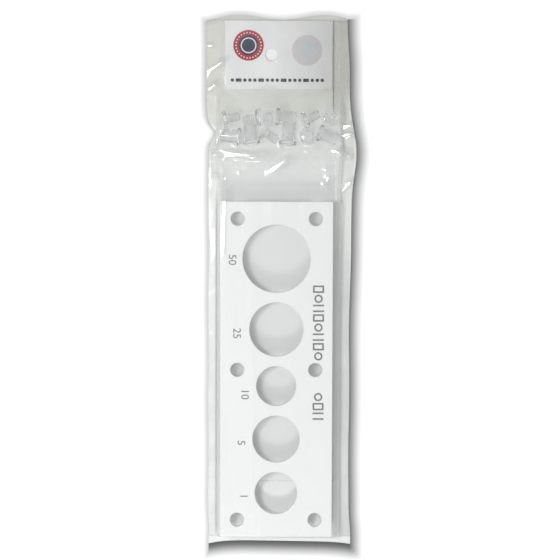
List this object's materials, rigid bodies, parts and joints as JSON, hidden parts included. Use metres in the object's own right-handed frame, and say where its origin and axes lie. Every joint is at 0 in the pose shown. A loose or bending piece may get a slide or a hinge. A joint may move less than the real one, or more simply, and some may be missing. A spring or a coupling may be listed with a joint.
{
  "type": "proof set holder",
  "caption": "White coin plate with round coin holes, clear cover plates, loose two-part screw posts and a header card, packed in a gusseted clear film bag with a hang hole.",
  "frame": {"origin": "centre of the pack's outline, on the underside of the back film", "axes": "+X to the right, +Y along the plates towards the open mouth and the header card, +Z out of the front"},
  "size_m": [0.0684, 0.2412, 0.0102],
  "materials": {
    "film": "clear polyethylene film, glossy, slightly grey",
    "clear_acrylic": "clear polished cast acrylic",
    "white_acrylic": "opaque white acrylic, printed",
    "clear_fastener": "clear moulded plastic",
    "card": "coated white paper, printed on both sides"
  },
  "bodies": {
    "bag": {"bag_back": "film", "bag_front": "film", "gusset_left": "film", "gusset_right": "film"},
    "holder": {"centre_plate": "white_acrylic"},
    "front_cover": {"front_cover": "clear_acrylic"},
    "back_cover": {"back_cover": "clear_acrylic"},
    "fasteners": {"post_1": "clear_fastener", "post_2": "clear_fastener", "post_3": "clear_fastener", "post_4": "clear_fastener", "post_5": "clear_fastener", "post_6": "clear_fastener", "screw_1": "clear_fastener", "screw_2": "clear_fastener", "screw_3": "clear_fastener", "screw_4": "clear_fastener", "screw_5": "clear_fastener", "screw_6": "clear_fastener"},
    "header_card": {"header_card": "card"}
  },
  "joints": [
    {"name": "holder_slide", "type": "slide", "parent": "bag", "child": "holder", "axis": [0, 1, 0], "range_m": [0, 0.242], "deforming": ["bag_front", "gusset_left", "gusset_right"]},
    {"name": "front_cover_slide", "type": "slide", "parent": "holder", "child": "front_cover", "axis": [0.0479, 0.9988, 0], "range_m": [-0.02503, 0]},
    {"name": "back_cover_slide", "type": "slide", "parent": "holder", "child": "back_cover", "axis": [0.0495, 0.9988, 0], "range_m": [-0.02423, 0]},
    {"name": "fastener_slide", "type": "slide", "parent": "holder", "child": "fasteners", "axis": [0, 1, 0], "range_m": [0, 0.063], "deforming": ["bag_front", "gusset_left", "gusset_right"]},
    {"name": "header_card_slide", "type": "slide", "parent": "fasteners", "child": "header_card", "axis": [0, 1, 0], "range_m": [0, 0.036]}
  ]
}
